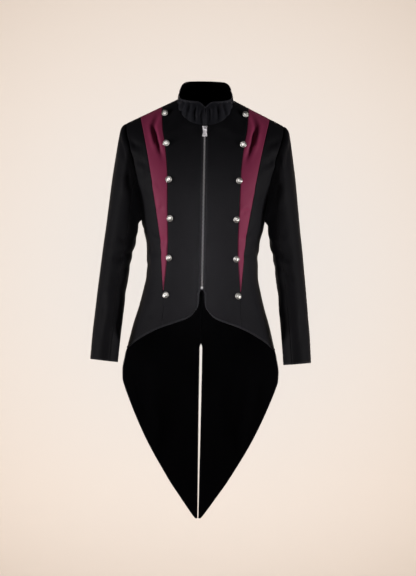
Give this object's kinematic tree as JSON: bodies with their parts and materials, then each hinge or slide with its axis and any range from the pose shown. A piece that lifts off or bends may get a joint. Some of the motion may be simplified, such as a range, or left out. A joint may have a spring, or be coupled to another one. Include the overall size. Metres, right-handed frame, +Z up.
{
  "type": "tailcoat",
  "caption": "Black stand-collar tailcoat with a front zip, burgundy insets, silver shank buttons, a cut-away hem and long pointed tails.",
  "frame": {"origin": "middle of the neck opening, level with the points where the shoulder seams meet the collar, where the wearer's shoulders hold the coat up", "axes": "+Z up, -Y out of the coat's front, +X towards the wearer's left"},
  "size_m": [0.585, 0.259, 1.162],
  "materials": {
    "black_cloth": "matte black twill with a faint sheen",
    "collar_cloth": "matte black twill, puckered at the front",
    "burgundy_cloth": "burgundy satin-like cloth",
    "zip_tape": "black woven tape",
    "silver_button": "antique silver, darker in its relief",
    "zip_metal": "bright silver metal"
  },
  "bodies": {
    "coat": {"back_left": "black_cloth", "back_right": "black_cloth", "button_left_1": "silver_button", "button_left_2": "silver_button", "button_left_3": "silver_button", "button_left_4": "silver_button", "button_left_5": "silver_button", "button_left_6": "silver_button", "button_right_1": "silver_button", "button_right_2": "silver_button", "button_right_3": "silver_button", "button_right_4": "silver_button", "button_right_5": "silver_button", "button_right_6": "silver_button", "collar": "collar_cloth", "front_centre_left": "black_cloth", "front_centre_right": "black_cloth", "front_side_left": "black_cloth", "front_side_right": "black_cloth", "inset_left": "burgundy_cloth", "inset_right": "burgundy_cloth", "sleeve_top_left": "black_cloth", "sleeve_top_right": "black_cloth", "sleeve_under_left": "black_cloth", "sleeve_under_right": "black_cloth", "zip_slider": "zip_metal", "zip_stop": "zip_metal", "zip_tape": "zip_tape"},
    "zip_pull": {"zip_pull": "zip_metal"}
  },
  "joints": [
    {"name": "pull_swing", "type": "hinge", "parent": "coat", "child": "zip_pull", "pos_m": [0, -0.08564, -0.08027], "axis": [-1, 0, 0], "range_deg": [0, 150]}
  ]
}
